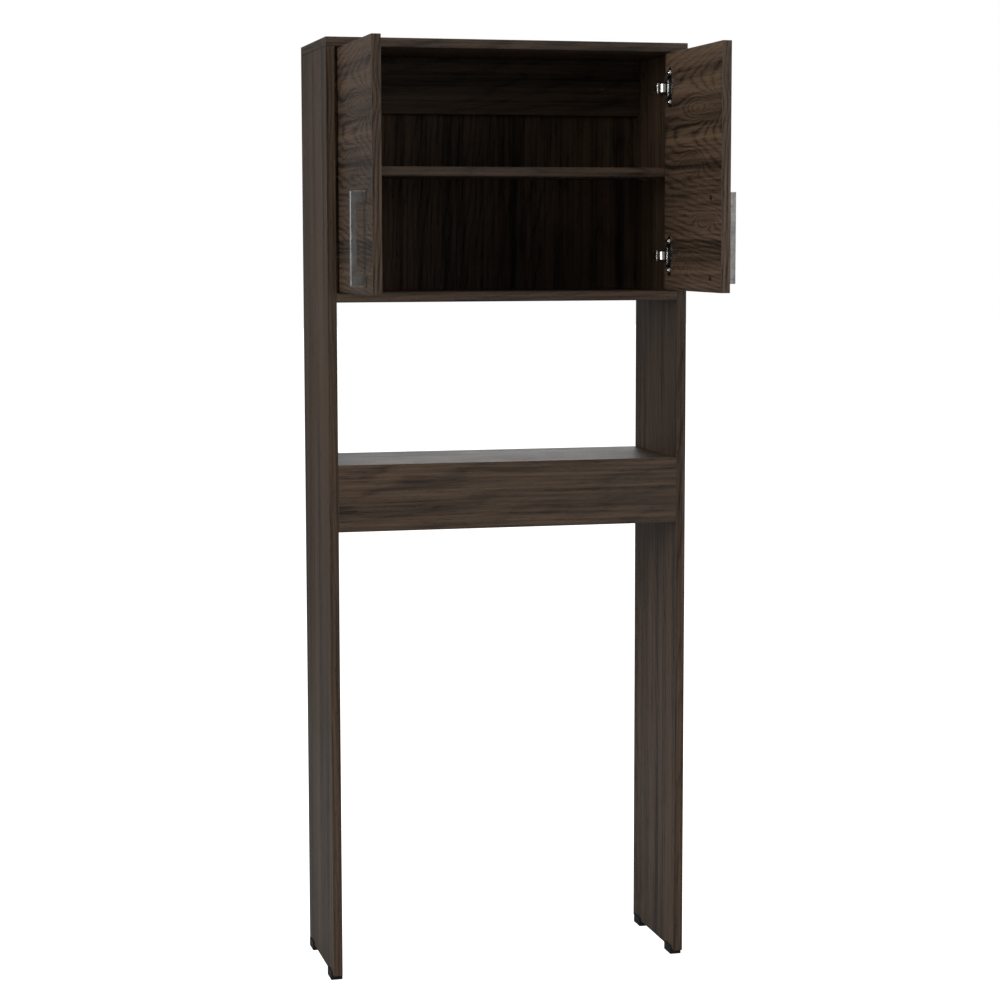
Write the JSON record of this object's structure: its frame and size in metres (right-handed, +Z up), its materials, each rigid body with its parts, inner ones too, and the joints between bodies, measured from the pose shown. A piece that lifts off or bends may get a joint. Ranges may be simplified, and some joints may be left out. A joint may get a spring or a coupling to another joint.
{
  "type": "over the toilet storage rack",
  "caption": "Tall over-toilet storage rack: a hinged-door cabinet with an inner shelf above an open shelf and apron, on full-height side panels with small plastic feet.",
  "frame": {"origin": "on the floor, at the centre of the box that the rack fills with both doors open 90 degrees", "axes": "+X to the right seen from the front, +Y towards the wall, +Z up"},
  "size_m": [0.62, 0.5132, 1.555],
  "materials": {
    "laminate_upright": "dark walnut-look laminate, grain upright, low satin",
    "laminate_lengthwise": "dark walnut-look laminate, grain along the board, low satin",
    "laminate_door": "dark walnut-look laminate, figured grain across the door, low satin",
    "back_board": "thin board with printed walnut-look face",
    "foot_plastic": "fine-textured black plastic",
    "handle_metal": "dark satin metal",
    "hinge_nickel": "nickel-plated pressed steel",
    "hinge_pin_steel": "bright steel pin",
    "screw_steel": "nickel-plated screw",
    "zinc_plated_steel": "bright zinc plate",
    "cam_zinc": "cast zinc",
    "dowel_wood": "fluted beech, unfinished"
  },
  "bodies": {
    "cabinet": {"left_side_panel": "laminate_upright", "right_side_panel": "laminate_upright", "top_panel": "laminate_lengthwise", "cabinet_bottom_panel": "laminate_lengthwise", "cabinet_shelf": "laminate_lengthwise", "back_panel": "back_board", "hanging_rail": "laminate_lengthwise", "middle_shelf": "laminate_lengthwise", "middle_apron": "laminate_lengthwise", "cam_bolts": "zinc_plated_steel", "cam_locks": "cam_zinc", "wood_dowels": "dowel_wood", "left_shelf_pins": "zinc_plated_steel", "right_shelf_pins": "zinc_plated_steel", "back_panel_nails": "zinc_plated_steel", "front_left_foot": "foot_plastic", "front_right_foot": "foot_plastic", "back_left_foot": "foot_plastic", "back_right_foot": "foot_plastic", "foot_nails": "zinc_plated_steel", "left_upper_hinge_arm": "hinge_nickel", "left_upper_hinge_plate": "hinge_nickel", "left_lower_hinge_arm": "hinge_nickel", "left_lower_hinge_plate": "hinge_nickel", "left_hinge_arm_pins": "hinge_pin_steel", "left_hinge_plate_screws": "screw_steel", "left_hinge_arm_screws": "screw_steel", "right_upper_hinge_arm": "hinge_nickel", "right_upper_hinge_plate": "hinge_nickel", "right_lower_hinge_arm": "hinge_nickel", "right_lower_hinge_plate": "hinge_nickel", "right_hinge_arm_pins": "hinge_pin_steel", "right_hinge_plate_screws": "screw_steel", "right_hinge_arm_screws": "screw_steel"},
    "left_door": {"left_door": "laminate_door", "left_door_handle": "handle_metal", "left_handle_screws": "screw_steel", "left_upper_hinge_cup": "hinge_nickel", "left_lower_hinge_cup": "hinge_nickel", "left_hinge_cup_pins": "hinge_pin_steel", "left_hinge_cup_screws": "screw_steel"},
    "left_hinge_links": {"left_upper_hinge_link": "hinge_nickel", "left_lower_hinge_link": "hinge_nickel"},
    "right_door": {"right_door": "laminate_door", "right_door_handle": "handle_metal", "right_handle_screws": "screw_steel", "right_upper_hinge_cup": "hinge_nickel", "right_lower_hinge_cup": "hinge_nickel", "right_hinge_cup_pins": "hinge_pin_steel", "right_hinge_cup_screws": "screw_steel"},
    "right_hinge_links": {"right_upper_hinge_link": "hinge_nickel", "right_lower_hinge_link": "hinge_nickel"}
  },
  "joints": [
    {"name": "left_door_hinge", "type": "hinge", "parent": "cabinet", "child": "left_door", "pos_m": [-0.2805, 0.02245, 1.3425], "axis": [0, 0, -1], "range_deg": [-90, 15]},
    {"name": "left_hinge_link_pivot", "type": "hinge", "parent": "cabinet", "child": "left_hinge_links", "pos_m": [-0.258, 0.03195, 1.3425], "axis": [0, 0, 1], "range_deg": [-43.42, 7.4]},
    {"name": "right_door_hinge", "type": "hinge", "parent": "cabinet", "child": "right_door", "pos_m": [0.2805, 0.02245, 1.3425], "axis": [0, 0, 1], "range_deg": [-90, 15]},
    {"name": "right_hinge_link_pivot", "type": "hinge", "parent": "cabinet", "child": "right_hinge_links", "pos_m": [0.258, 0.03195, 1.3425], "axis": [0, 0, -1], "range_deg": [-43.42, 7.4]}
  ],
  "couplings": [
    {"joint": "left_hinge_link_pivot", "follows": "left_door_hinge", "ratio": 0.48021},
    {"joint": "right_hinge_link_pivot", "follows": "right_door_hinge", "ratio": 0.48021}
  ]
}
